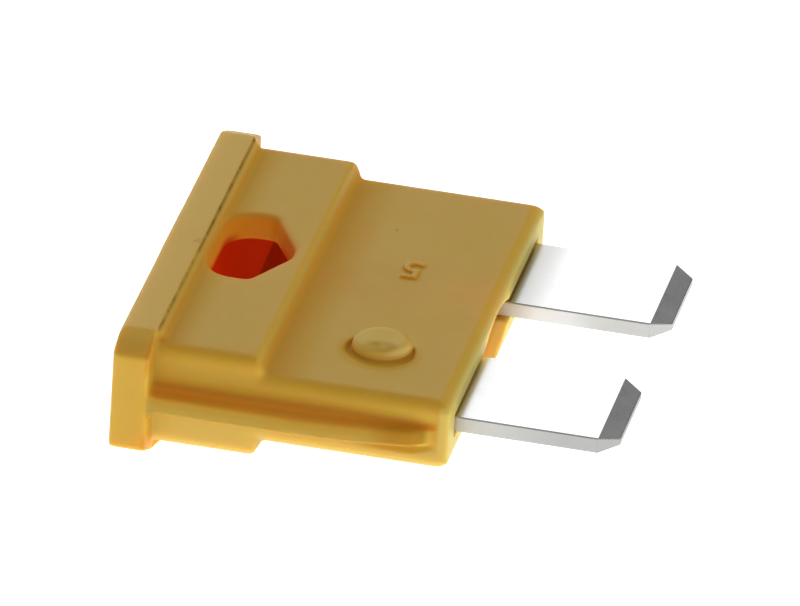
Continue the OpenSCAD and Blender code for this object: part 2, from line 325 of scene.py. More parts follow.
def make_housing(material):
    blocky = through_modifiers(marked_housing(), [
        ("REMESH", {"mode": "VOXEL", "voxel_size": SHELL_VOXEL, "adaptivity": 0.0}),
    ])
    melt, bead = softening(places_of(blocky))
    dish_buttons(blocky)
    share_kept = min(1.0, SHELL_TRIANGLES / (2 * len(blocky.polygons)))
    soft = through_modifiers(blocky, [
        ("SMOOTH", {"factor": 0.5, "iterations": SETTLING}),
        ("SMOOTH", {"factor": 0.5, "iterations": MELTING, "vertex_group": "melt"}),
        ("SMOOTH", {"factor": 0.5, "iterations": BEADING, "vertex_group": "bead"}),
        ("DECIMATE", {"decimate_type": "COLLAPSE", "ratio": share_kept}),
    ], {"melt": melt, "bead": bead})
    shape = bmesh_of(soft)
    bmesh.ops.triangulate(shape, faces=shape.faces)
    cut_seam(shape)
    bmesh.ops.triangulate(shape, faces=shape.faces)
    return finished("moulded_housing", shape, "housing", material)


# ---- Fuse element --------------------------------------------------------------------------

FLAT_ANGLE = math.radians(1)
SHARP_ANGLE = math.radians(25)
CREASE_ANGLE = math.radians(10)
EDGE_ROUND = 0.045


def make_element(material):
    shape = merged_copy("fuse_element")
    bmesh.ops.dissolve_limit(
        shape, angle_limit=FLAT_ANGLE, use_dissolve_boundaries=False,
        verts=shape.verts, edges=shape.edges,
    )
    sharp = [e for e in shape.edges if len(e.link_faces) == 2 and e.calc_face_angle(0) > SHARP_ANGLE]
    bmesh.ops.bevel(
        shape, geom=sharp, offset=EDGE_ROUND, offset_type="OFFSET", segments=2, profile=0.5,
        affect="EDGES", clamp_overlap=True, material=-1,
    )
    bmesh.ops.triangulate(shape, faces=shape.faces)
    piece = finished("stamped_element", shape, "fuse_element", material)
    piece.data.set_sharp_from_angle(angle=CREASE_ANGLE)
    return piece


# ---- Shader groups -------------------------------------------------------------------------

class Nodes:
    """Adds nodes to a tree and links them, with numbers or sockets as their inputs."""

    def __init__(self, tree):
        self.tree = tree

    def add(self, kind, inputs=None, **settings):
        node = self.tree.nodes.new(kind)
        for key, value in settings.items():
            setattr(node, key, value)
        for key, value in (inputs or {}).items():
            self.feed(node.inputs[key], value)
        return node

    def feed(self, socket, value):
        if isinstance(value, bpy.types.NodeSocket):
            self.tree.links.new(value, socket)
        else:
            socket.default_value = value

    def math(self, operation, *values, clamp=False):
        node = self.add("ShaderNodeMath", dict(enumerate(values)), operation=operation)
        node.use_clamp = clamp
        return node.outputs[0]

    def remap(self, value, low, high, to_low=0.0, to_high=1.0, soft=True):
        node = self.add("ShaderNodeMapRange", {
            "Value": value, "From Min": low, "From Max": high, "To Min": to_low, "To Max": to_high,
        }, interpolation_type="SMOOTHSTEP" if soft else "LINEAR")
        return node.outputs["Result"]

    def product(self, *values):
        result = values[0]
        for value in values[1:]:
            result = self.math("MULTIPLY", result, value)
        return result

    def highest(self, *values):
        result = values[0]
        for value in values[1:]:
            result = self.math("MAXIMUM", result, value)
        return result

    def length(self, a, b):
        return self.math("SQRT", self.math("ADD", self.product(a, a), self.product(b, b)))

    def mix(self, factor, a, b):
        """Mixes two colours."""
        node = self.add("ShaderNodeMix", data_type="RGBA")
        self.feed(node.inputs["Factor"], factor)
        self.feed(node.inputs[6], a)
        self.feed(node.inputs[7], b)
        return node.outputs[2]

    def group(self, tree, **values):
        node = self.add("ShaderNodeGroup", node_tree=tree)
        for name, value in values.items():
            self.feed(node.inputs[name.replace("_", " ").capitalize()], value)
        return node.outputs

    def band(self, value, low, high, softness):
        return self.group(BAND, value=value, low=low, high=high, softness=softness)["Mask"]

    def blotches(self, vector, scale, contrast):
        return self.group(BLOTCHES, vector=vector, scale=scale, contrast=contrast)["Factor"]


def new_group(name, inputs, outputs):
    tree = bpy.data.node_groups.new(name, "ShaderNodeTree")
    for socket_name, kind, value in inputs:
        socket = tree.interface.new_socket(socket_name, in_out="INPUT", socket_type=kind)
        if value is not None:
            socket.default_value = value
    for socket_name, kind in outputs:
        tree.interface.new_socket(socket_name, in_out="OUTPUT", socket_type=kind)
    nodes = Nodes(tree)
    return tree, nodes, nodes.add("NodeGroupInput").outputs, nodes.add("NodeGroupOutput").inputs


def band_group():
    """A mask that is 1 where a value lies between two limits, with soft edges."""
    tree, nodes, given, wanted = new_group(
        "soft_band",
        [("Value", "NodeSocketFloat", 0.0), ("Low", "NodeSocketFloat", 0.0),
         ("High", "NodeSocketFloat", 1.0), ("Softness", "NodeSocketFloat", 0.1)],
        [("Mask", "NodeSocketFloat")],
    )
    low_end = nodes.math("ADD", given["Low"], given["Softness"])
    high_end = nodes.math("ADD", given["High"], given["Softness"])
    low_start = nodes.math("SUBTRACT", given["Low"], given["Softness"])
    high_start = nodes.math("SUBTRACT", given["High"], given["Softness"])
    enters = nodes.remap(given["Value"], low_start, low_end)
    leaves = nodes.remap(given["Value"], high_start, high_end, 1.0, 0.0)
    nodes.feed(wanted["Mask"], nodes.product(enters, leaves))
    return tree


def blotch_group():
    """Slow cloudy variation, from 0 to 1."""
    tree, nodes, given, wanted = new_group(
        "blotches",
        [("Vector", "NodeSocketVector", None), ("Scale", "NodeSocketFloat", 0.5),
         ("Contrast", "NodeSocketFloat", 1.0)],
        [("Factor", "NodeSocketFloat")],
    )
    cloud = nodes.add("ShaderNodeTexNoise", {
        "Vector": given["Vector"], "Scale": given["Scale"], "Detail": 4.0, "Roughness": 0.55,
        "Distortion": 0.6,
    })
    centred = nodes.math("SUBTRACT", cloud.outputs["Fac"], 0.5)
    strong = nodes.math("MULTIPLY", centred, given["Contrast"])
    nodes.feed(wanted["Factor"], nodes.math("ADD", strong, 0.5, clamp=True))
    return tree


def grain_group():
    """Fine surface grain: a height, and a variation for the gloss."""
    tree, nodes, given, wanted = new_group(
        "fine_grain",
        [("Vector", "NodeSocketVector", None), ("Coarse scale", "NodeSocketFloat", 3.0),
         ("Fine scale", "NodeSocketFloat", 14.0), ("Fine share", "NodeSocketFloat", 0.3)],
        [("Height", "NodeSocketFloat"), ("Variation", "NodeSocketFloat")],
    )
    coarse = nodes.add("ShaderNodeTexNoise", {
        "Vector": given["Vector"], "Scale": given["Coarse scale"], "Detail": 2.0,
    }).outputs["Fac"]
    fine = nodes.add("ShaderNodeTexNoise", {
        "Vector": given["Vector"], "Scale": given["Fine scale"], "Detail": 3.0, "Roughness": 0.6,
    }).outputs["Fac"]
    mixed = nodes.add("ShaderNodeMix", {
        "Factor": given["Fine share"], "A": coarse, "B": fine,
    }, data_type="FLOAT").outputs["Result"]
    nodes.feed(wanted["Height"], mixed)
    nodes.feed(wanted["Variation"], fine)
    return tree


BAND = band_group()
BLOTCHES = blotch_group()
GRAIN = grain_group()


# ---- Materials -----------------------------------------------------------------------------

def new_material(name):
    material = bpy.data.materials.new(name)
    material.use_nodes = True
    nodes = Nodes(material.node_tree)
    return material, nodes, material.node_tree.nodes["Principled BSDF"]


def place_in_mm(nodes):
    """The piece's own coordinates in millimetres: the vector and its three parts."""
    place = nodes.add("ShaderNodeTexCoord").outputs["Object"]
    scaled = nodes.add("ShaderNodeVectorMath", {0: place, "Scale": 1 / MM}, operation="SCALE")
    vector = scaled.outputs["Vector"]
    parts = nodes.add("ShaderNodeSeparateXYZ", {"Vector": vector}).outputs
    return vector, parts["X"], parts["Y"], parts["Z"]


class Surface:
    """Where a place on the housing lies, with the two broad faces turned onto each other."""

    def __init__(self, nodes):
        self.nodes = nodes
        self.vector, self.x, self.y, self.z = place_in_mm(nodes)
        self.turned_y = nodes.product(self.y, nodes.math("SIGN", self.z))
        self.across = nodes.math("ABSOLUTE", self.y)
        self.height = nodes.math("ABSOLUTE", self.z)

    def distance_from(self, place, share_x=1.0):
        """The distance from an axis through both faces, of which the part along X may count less."""
        away_x = self.nodes.product(self.nodes.math("SUBTRACT", self.x, place[0]), share_x)
        away_y = self.nodes.math("SUBTRACT", self.turned_y, place[1])
        return self.nodes.length(away_x, away_y)


# Each function below gives masks by name, which are 1 on a part of the housing and 0 off it.
# Their numbers are the places, in millimetres, between which a mask sets in or ends.

def side_masks(nodes, at):
    """Painted shade and light on the flanges, the walls above and below them, and the open end."""
    x, z, across, height = at.x, at.z, at.across, at.height
    # Across the fuse, with the curve taken out along which the flanges draw in
    along = nodes.remap(x, *FLANGE_CURVE_X, soft=False)
    flange_y = nodes.math("ADD", across, nodes.product(along, along, FLANGE_DROP))
    beside = nodes.band(x, HEAD_INNER_X, COLLAR_X, 0.12)
    # Painted shade in the inner corners between the walls and the flanges, with painted glow where they
    # are deepest
    at_notch = nodes.product(nodes.remap(x, -1.4, -0.9), nodes.remap(z, 0.36, 0.2))
    between = nodes.product(
        nodes.remap(across, 8.0, 8.3), beside, nodes.math("SUBTRACT", 1.0, at_notch)
    )
    outer_y = nodes.math("ADD", flange_y, nodes.remap(z, 0.0, -0.3, 0.0, 0.35))
    groove = nodes.product(
        nodes.remap(outer_y, 9.05, 9.65, 1.0, 0.0, soft=False),
        nodes.remap(height, FLANGE_TOP, 0.68, 1.0, 0.0, soft=False), between,
    )
    deepest = nodes.product(
        nodes.remap(flange_y, 8.7, 9.2, 1.0, 0.0), between, nodes.remap(x, -10.0, -3.0, 0.8, 1.0),
        nodes.remap(height, FLANGE_TOP, 1.0, 1.0, 0.0, soft=False),
    )
    # Painted shade on the flanges' outer sides, their ends and lower edges, and on the wall just under
    # them
    flange_side = nodes.product(
        nodes.remap(flange_y, 9.1, 9.4), nodes.band(z, -0.5, 0.24, 0.14), beside,
        nodes.remap(x, -2.6, -1.2, 1.0, 0.2),
    )
    raised_z = nodes.math("SUBTRACT", z, nodes.remap(x, -1.8, -1.0, 0.0, 0.35))
    flange_end = nodes.product(
        nodes.remap(x, -3.4, -1.9), nodes.remap(x, -0.7, -1.0), nodes.remap(across, 8.2, 8.5),
        nodes.remap(raised_z, -0.7, -0.5), nodes.remap(z, 0.53, 0.37),
    )
    lip = nodes.product(
        nodes.remap(flange_y, 8.85, 9.05), nodes.band(z, -0.6, -0.2, 0.12), beside,
        nodes.remap(x, -1.6, -1.0, 1.0, 0.0),
    )
    rising_z = nodes.math("SUBTRACT", z, nodes.remap(x, -1.5, -0.5, 0.0, 0.24))
    under_lip = nodes.product(
        nodes.band(rising_z, -0.84, -0.5, 0.1), nodes.remap(x, -4.2, -2.2),
        nodes.remap(x, -0.35, -0.75), nodes.remap(across, 8.3, 8.45),
    )
    # Painted light from the floor: on the lower parts of the walls, their lowest edges, and the open
    # end
    below = nodes.product(nodes.remap(z, -0.35, -0.6), nodes.remap(across, 8.3, 8.5))
    at_end = nodes.product(nodes.remap(x, -0.5, -0.3), nodes.remap(height, 1.3, 1.15))
    painted_floor_light = nodes.product(
        nodes.highest(nodes.product(below, 0.8), at_end), nodes.remap(x, -11.35, -11.25)
    )
    body_edge = nodes.product(nodes.remap(z, -1.1, -1.35), nodes.remap(x, -7.4, -7.2))
    low_edge = nodes.product(
        nodes.highest(body_edge, nodes.remap(z, -1.8, -2.05)),
        nodes.remap(across, 8.3, 8.5), nodes.remap(x, -11.3, -11.1),
    )
    return {
        "groove": groove, "deepest": deepest, "flange side": flange_side, "flange end": flange_end,
        "lip": lip, "under lip": under_lip, "painted_floor_light": painted_floor_light, "low edge": low_edge,
    }


def valley_masks(nodes, at):
    """Painted shade in the hollows at the foot of the head and of the step, and painted light and shade
    on the head itself.
    """
    x, across, height = at.x, at.across, at.height
    inland = nodes.remap(across, 8.0, 8.4, 1.0, 0.0)
    head_valley = nodes.product(
        nodes.band(x, -11.24, -10.98, 0.14), nodes.band(height, 2.0, 2.32, 0.08)
    )
    step_valley = nodes.product(
        nodes.band(x, -7.36, -7.02, 0.22), nodes.band(height, 1.3, 1.86, 0.12)
    )
    # Beyond each hollow the painted shade fades out over the face beside it
    head_tail = nodes.product(
        nodes.remap(x, -11.1, -10.0, 1.0, 0.0, soft=False), nodes.remap(x, -11.3, -11.1),
        nodes.band(height, 1.9, 2.2, 0.08), 0.65,
    )
    step_tail = nodes.product(
        nodes.remap(x, -7.2, -5.4, 1.0, 0.0, soft=False), nodes.remap(x, -7.45, -7.2),
        nodes.band(height, 1.3, 1.6, 0.08), 0.7,
    )
    # Painted light makes the head paler towards its outer edge, and painted shade darkens its cut
    # corners' inner edge
    painted_head_light = nodes.product(
        nodes.remap(x, SEAM_X + 0.06, SEAM_X - 0.02), nodes.remap(x, SEAM_X, HEAD_X, 0.75, 1.0),
        nodes.remap(height, 2.2, 2.45, 0.35, 1.0),
    )
    corner_edge = nodes.product(
        nodes.band(x, -11.5, -11.3, 0.08), nodes.remap(across, 8.3, 8.7),
        nodes.remap(height, 1.0, 1.6),
    )
    return {
        "valley": nodes.product(nodes.highest(head_valley, step_valley), inland),
        "tail": nodes.product(nodes.highest(head_tail, step_tail), inland),
        "painted_head_light": painted_head_light, "corner edge": corner_edge,
    }


def button_masks(nodes, at):
    """Painted shade and light on the buttons with their dents, and painted shade in the moats round
    them.
    """
    height = at.height
    from_moat = at.distance_from(MOAT)
    moat_side = nodes.math("SUBTRACT", at.turned_y, MOAT[1])
    moat = nodes.product(
        nodes.remap(from_moat, MOAT_R, MOAT_R + 0.12, 1.0, 0.0), nodes.remap(height, 1.0, 1.1),
        nodes.remap(height, BODY_TOP - 0.06, BODY_TOP + 0.06, 1.0, 0.0),
    )
    moat_tail = nodes.product(
        nodes.remap(from_moat, MOAT_R, MOAT_R + 0.5, 1.0, 0.0), nodes.remap(height, 1.3, 1.35),
        nodes.remap(height, BODY_TOP + 0.02, BODY_TOP + 0.1, 1.0, 0.0),
        nodes.remap(moat_side, -0.6, 0.8, 1.0, 0.0),
    )
    from_button = at.distance_from(BUTTON)
    on_button = nodes.remap(height, BODY_TOP + 0.1, BODY_TOP + 0.2)
    top = nodes.product(nodes.remap(from_button, 0.9, 1.2, 1.0, 0.0), on_button)
    rim = nodes.product(
        nodes.band(from_button, 0.86, 1.3, 0.1), nodes.remap(height, BODY_TOP + 0.02, BODY_TOP + 0.1)
    )
    wall = nodes.product(
        nodes.band(from_button, 1.0, 1.3, 0.06),
        nodes.remap(height, BODY_TOP - 0.02, BODY_TOP + 0.06),
        nodes.remap(height, BUTTON_TOP - 0.03, BUTTON_TOP - 0.12),
    )
    cloud = nodes.blotches(at.vector, 1.8, 2.0)
    dish = nodes.product(
        nodes.remap(at.distance_from(DISH, 0.6), 0.18, 0.5, 1.0, 0.0), on_button,
        nodes.remap(cloud, 0.0, 1.0, 0.6, 1.0),
    )
    # Painted highlight on one side of the rim, and painted shade on another
    along = nodes.math("SUBTRACT", at.x, BUTTON[0])
    outward = nodes.math("SUBTRACT", at.turned_y, BUTTON[1])
    pale_side = nodes.math("SUBTRACT", nodes.product(along, 0.8), nodes.product(outward, 0.6))
    rim_light = nodes.product(
        nodes.band(from_button, 0.88, 1.3, 0.08),
        nodes.remap(height, BODY_TOP + 0.12, BODY_TOP + 0.2), nodes.remap(pale_side, 0.75, 1.05),
    )
    shaded_side = nodes.math("ADD", nodes.product(along, 0.7), nodes.product(outward, 0.7))
    rim_shade = nodes.product(
        nodes.band(from_button, 0.88, 1.3, 0.12), on_button, nodes.remap(shaded_side, 0.6, 1.0)
    )
    return {
        "moat": moat, "moat tail": moat_tail,
        "near moat": nodes.product(moat, nodes.remap(moat_side, -0.2, -1.0)),
        "button": nodes.highest(rim, top), "button wall": wall, "dish": dish,
        "rim light": rim_light, "rim shade": rim_shade,
        "off button": nodes.remap(from_button, 1.1, 1.6),
    }


def window_masks(nodes, at):
    """Painted shade and glow on the window's walls and rim, the chamber below, and the hollow at the
    mouth.
    """
    x, z, across, height = at.x, at.z, at.across, at.height
    from_middle = nodes.math("ABSOLUTE", nodes.math("SUBTRACT", at.turned_y, WINDOW_Y))
    in_window = nodes.product(
        nodes.band(x, WINDOW_X[0] - 0.25, WINDOW_X[1] + 0.25, 0.03),
        nodes.remap(from_middle, WINDOW_HALF_WIDTH + 0.85, WINDOW_HALF_WIDTH + 0.95, 1.0, 0.0),
    )
    wall = nodes.product(
        in_window, nodes.remap(height, SHOULDER_TOP - 0.25, SHOULDER_TOP, 1.0, 0.0)
    )
    wall_red = nodes.product(
        wall, nodes.remap(height, 1.05, 1.5, 1.0, 0.0),
        nodes.highest(nodes.remap(x, -10.5, -10.95), nodes.remap(x, -9.2, -8.6)),
    )
    # How far a place lies outside the outline: round corners, the nose's slanting edges, its tip
    corner_x = nodes.math("SUBTRACT", WINDOW_X[0] + WINDOW_CORNER_R, x)
    corner_y = nodes.math("SUBTRACT", from_middle, WINDOW_HALF_WIDTH - WINDOW_CORNER_R)
    from_round = nodes.math("SUBTRACT", nodes.length(
        nodes.math("MAXIMUM", corner_x, 0.0), nodes.math("MAXIMUM", corner_y, 0.0)
    ), WINDOW_CORNER_R)
    from_nose = nodes.math("ADD", nodes.math(
        "ADD", nodes.product(x, NOSE_OUTWARD[0]), nodes.product(from_middle, NOSE_OUTWARD[1])
    ), NOSE_DISTANCE)
    outside = nodes.highest(from_round, from_nose, nodes.math("SUBTRACT", x, WINDOW_X[1]))
    rim = nodes.product(
        nodes.remap(outside, 0.05, 0.4, 1.0, 0.0), nodes.band(height, 1.95, 2.2, 0.05),
        nodes.remap(at.turned_y, -0.6, 0.8, 0.9, 0.5),
    )
    chamber = nodes.product(
        in_window, nodes.remap(height, CHAMBER_TOP + 0.03, CHAMBER_TOP + 0.10, 1.0, 0.0)
    )
    lean = nodes.product(nodes.math("SUBTRACT", z, CHAMBER_CORNER_Z), CHAMBER_LEAN)
    past_corner = nodes.math("SUBTRACT", nodes.math("SUBTRACT", x, CHAMBER_CORNER_X), lean)
    mouth = nodes.product(
        nodes.remap(across, 2.0, 2.3, 1.0, 0.0), nodes.remap(height, 0.9, 1.0, 1.0, 0.0),
        nodes.remap(x, -6.0, -1.0),
    )
    return {
        "window wall": wall, "window": nodes.highest(wall, rim),
        "far wall": nodes.product(wall, nodes.remap(x, -9.7, -8.5)), "red wall": wall_red,
        "chamber": chamber,
        "chamber side": nodes.product(chamber, nodes.remap(past_corner, -0.05, 0.05)),
        "mouth": mouth,
    }


def marking_masks(nodes, at):
    """Painted shade along the parting line on the head, a scuff beside it, painted shade at the raised
    number's sides, and a dark fleck.
    """
    x, y, z, height = at.x, at.y, at.z, at.height
    on_head = nodes.remap(height, HEAD_TOP - 0.15, HEAD_TOP - 0.1)
    broken = nodes.product(nodes.blotches(at.vector, 1.3, 4.0), 0.45)
    strength = nodes.math("ADD", broken, nodes.remap(at.turned_y, -1.0, 1.0, 0.35, 0.6), clamp=True)
    # Painted shade along the parting line's fine groove, broken up unevenly
    line = nodes.product(
        nodes.band(x, SEAM_X + 0.01, SEAM_X + 0.11, 0.04),
        nodes.band(at.across, -1.0, SEAM_HALF_LENGTH, 0.2), on_head, strength,
    )
    scuff = nodes.product(
        nodes.band(x, SEAM_X - 0.28, SEAM_X - 0.02, 0.05), nodes.band(at.turned_y, -0.95, -0.6, 0.1),
        on_head, nodes.blotches(at.vector, 9.0, 5.0), 0.5,
    )
    # Painted shade round the sides of the raised number
    number_side = nodes.product(
        nodes.band(height, BODY_TOP + 0.02, BODY_TOP + 0.06, 0.02), nodes.remap(z, 0.0, 0.1),
        nodes.band(x, NUMBER_PLACE[0] - 0.7, NUMBER_PLACE[0] + 0.7, 0.1),
        nodes.band(y, NUMBER_PLACE[1] - 1.0, NUMBER_PLACE[1] + 1.0, 0.1),
    )
    fleck = nodes.product(
        nodes.band(x, FLECK[0] - 0.03, FLECK[0] + 0.03, 0.03),
        nodes.band(y, FLECK[1] - 0.1, FLECK[1] + 0.1, 0.06), nodes.remap(z, 1.3, 1.4), 0.6,
    )
    seam = nodes.highest(line, scuff)
    return {"seam": seam, "marks": nodes.highest(seam, fleck), "number side": number_side}


def cloud_masks(nodes, at):
    """The plastic's own unevenness, with a painted glow that warms it where the skin over the hollow is
    thin.
    """
    thin_skin = nodes.product(
        nodes.remap(at.across, 0.8, 3.2, 1.0, 0.0), nodes.band(at.x, -6.9, -0.4, 0.5),
        nodes.remap(at.height, 1.2, 1.4),
    )
    clouds = nodes.blotches(at.vector, 0.45, 1.8)
    return {
        "clouds": clouds, "specks": nodes.blotches(at.vector, 2.2, 1.5),
        "flow_and_skin_glow": nodes.product(clouds, nodes.math("ADD", nodes.product(thin_skin, 0.9), 0.25)),
    }


AMBER = (0.76, 0.485, 0.050, 1)
# Warmer tone: the plastic's own clouds, with painted light where the skin is thin
AMBER_WARM = (0.74, 0.44, 0.045, 1)
# Random specks, and painted shade in the hollows, at the head's corners and on the button rims
AMBER_SPECK_AND_SHADE = (0.72, 0.335, 0.026, 1)
# Painted shade in the corners beside the flanges and round the raised number
BROWN_SHADE = (0.74, 0.31, 0.018, 1)
# Painted light on the head's outer part and on the button tops and rims
AMBER_PAINTED_LIGHT = (0.84, 0.58, 0.105, 1)
# Painted light from the floor on the lower walls and the open end
AMBER_FLOOR_LIGHT = (0.77, 0.60, 0.14, 1)
# Painted shade on the flanges' outer sides
FLANGE_SHADE = (0.53, 0.41, 0.052, 1)
# Painted light from the floor on the lowest edges
LOW_EDGE_LIGHT = (0.55, 0.47, 0.22, 1)
# Painted shade on the flanges' lower lips
LIP_SHADE = (0.40, 0.29, 0.045, 1)
# Painted shade at the flanges' ends
FLANGE_END_SHADE = (0.44, 0.27, 0.020, 1)
# Painted shade under the flanges
UNDER_LIP_SHADE = (0.64, 0.37, 0.03, 1)
# Painted highlight on one side of the button rims
RIM_HIGHLIGHT = (0.88, 0.66, 0.19, 1)
# Painted light on the button walls
BUTTON_WALL_LIGHT = (0.82, 0.55, 0.12, 1)
# Painted shade in the button dents
DENT_SHADE = (0.60, 0.35, 0.010, 1)
# Painted shade in the moats
MOAT_SHADE = (0.68, 0.33, 0.022, 1)
# Painted shade in the parting line, and the colour of the scuff and the fleck
SEAM_SHADE_AND_MARKS = (0.27, 0.125, 0.003, 1)
# Painted shade in the window, deepening to red in the chamber below it
WINDOW_WALL_SHADE = (0.74, 0.345, 0.022, 1)
WINDOW_FAR_SHADE = (0.50, 0.17, 0.025, 1)
WINDOW_RED_SHADE = (0.42, 0.04, 0.002, 1)
CHAMBER_SHADE = (0.25, 0.006, 0.0003, 1)
CHAMBER_SIDE_SHADE = (0.10, 0.002, 0.0001, 1)
DARK = (0.0, 0.0, 0.0, 1)

# What lies over the plain amber, from the bottom up, most of it painted shade and light: a mask, how
# much it counts, and its colour
COLOUR_LAYERS = (
    ("flow_and_skin_glow", 1, AMBER_WARM),
    ("painted_head_light", 1, AMBER_PAINTED_LIGHT),
    ("specks", 0.12, AMBER_SPECK_AND_SHADE),
    ("painted_floor_light", 1, AMBER_FLOOR_LIGHT),
    ("low edge", 1, LOW_EDGE_LIGHT),
    ("flange side", 1, FLANGE_SHADE),
    ("lip", 1, LIP_SHADE),
    ("flange end", 0.9, FLANGE_END_SHADE),
    ("under lip", 1, UNDER_LIP_SHADE),
    ("corner edge", 0.7, AMBER_SPECK_AND_SHADE),
    ("hollow", 1, AMBER_SPECK_AND_SHADE),
    ("groove", 1, BROWN_SHADE),
    ("button", 0.7, AMBER_PAINTED_LIGHT),
    ("dish", 1, DENT_SHADE),
    ("button wall", 1, BUTTON_WALL_LIGHT),
    ("rim light", 1, RIM_HIGHLIGHT),
    ("rim shade", 1, AMBER_SPECK_AND_SHADE),
    ("number side", 0.9, BROWN_SHADE),
    ("moat", 1, MOAT_SHADE),
    ("marks", 1, SEAM_SHADE_AND_MARKS),
    ("window", 1, WINDOW_WALL_SHADE),
    ("far wall", 1, WINDOW_FAR_SHADE),
    ("red wall", 1, WINDOW_RED_SHADE),
    ("chamber", 1, CHAMBER_SHADE),
    ("chamber side", 1, CHAMBER_SIDE_SHADE),
)
# Painted glow given off in the hollows, on the button walls, in the window and chamber and at the mouth
PAINTED_GLOW_LAYERS = (
    ("valley", 1, (0.03, 0.014, 0.002, 1)),
    ("deepest", 1, (0.10, 0.044, 0.006, 1)),
    ("button wall", 1, (0.05, 0.035, 0.006, 1)),
    ("near moat", 1, (0.055, 0.048, 0.008, 1)),
    ("window wall", 1, (0.12, 0.045, 0.002, 1)),
    ("far wall", 1, (0.085, 0.026, 0.003, 1)),
    ("red wall", 1, (0.13, 0.009, 0.0003, 1)),
    ("chamber", 1, (0.228, 0.0088, 0.0003, 1)),
    ("chamber side", 1, (0.14, 0.0050, 0.0, 1)),
    ("mouth", 1, (0.18, 0.115, 0.032, 1)),
)


def layered(nodes, colour, layers, masks):
    for name, share, paint in layers:
        factor = masks[name] if share == 1 else nodes.product(masks[name], share)
        colour = nodes.mix(factor, colour, paint)
    return colour


def plastic_material():
    """Clear amber plastic: light sinks in, and painted shade, light and glow turn the hollows and thin
    places orange and red.
    """
    material, nodes, shader = new_material("amber_plastic")
    at = Surface(nodes)
    masks = {}
    for draw in (side_masks, valley_masks, button_masks, window_masks, marking_masks, cloud_masks):
        masks.update(draw(nodes, at))
    # Painted shade in the hollows at the foot of the head and the step, and beside the moats
    masks["hollow"] = nodes.highest(
        masks["valley"], masks["tail"], nodes.product(masks["moat tail"], 0.6)
    )
    nodes.feed(shader.inputs["Base Color"], layered(nodes, AMBER, COLOUR_LAYERS, masks))
    nodes.feed(shader.inputs["Emission Color"], layered(nodes, DARK, PAINTED_GLOW_LAYERS, masks))
    shader.inputs["Emission Strength"].default_value = 1.0

    grain = nodes.group(GRAIN, vector=at.vector, coarse_scale=2.4, fine_scale=13.0, fine_share=0.25)
    dull = nodes.highest(*(masks[name] for name in ("hollow", "groove", "moat", "seam", "number side")))
    gloss = nodes.math("ADD", nodes.product(grain["Variation"], 0.12), 0.40)
    gloss = nodes.math("ADD", gloss, nodes.product(masks["clouds"], 0.05))
    gloss = nodes.math("ADD", gloss, nodes.product(dull, 0.4), clamp=True)
    nodes.feed(shader.inputs["Roughness"], gloss)
    bump = nodes.add("ShaderNodeBump", {
        "Strength": 1.0, "Distance": 0.006 * MM, "Height": grain["Height"],
    })
    nodes.feed(shader.inputs["Normal"], bump.outputs["Normal"])
    shader.inputs["Subsurface Weight"].default_value = 1.0
    shader.inputs["Subsurface Radius"].default_value = (1.0, 0.42, 0.1)
    depth = nodes.remap(masks["off button"], 0.0, 1.0, 0.25 * MM, 0.7 * MM, soft=False)
    nodes.feed(shader.inputs["Subsurface Scale"], depth)
    shaded = nodes.highest(*(masks[name] for name in ("dish", "flange end", "lip", "under lip")))
    matt = nodes.highest(masks["chamber"], nodes.product(shaded, 0.6))
    nodes.feed(shader.inputs["Specular IOR Level"], nodes.remap(matt, 0.0, 1.0, 0.25, 0.03))
    return material


BRIGHT = (0.84, 0.845, 0.85, 1)
CLOUDED = (0.76, 0.765, 0.77, 1)
SHEARED = (0.56, 0.56, 0.545, 1)
SHEARED_LIGHTER = (0.71, 0.72, 0.73, 1)
SHEARED_DARKER = (0.46, 0.465, 0.455, 1)
COINED = (0.47, 0.47, 0.465, 1)
STRUCK = (0.38, 0.38, 0.375, 1)
# Painted shade for the blades' roots
ROOT_SHADE = (0.44, 0.44, 0.43, 1)


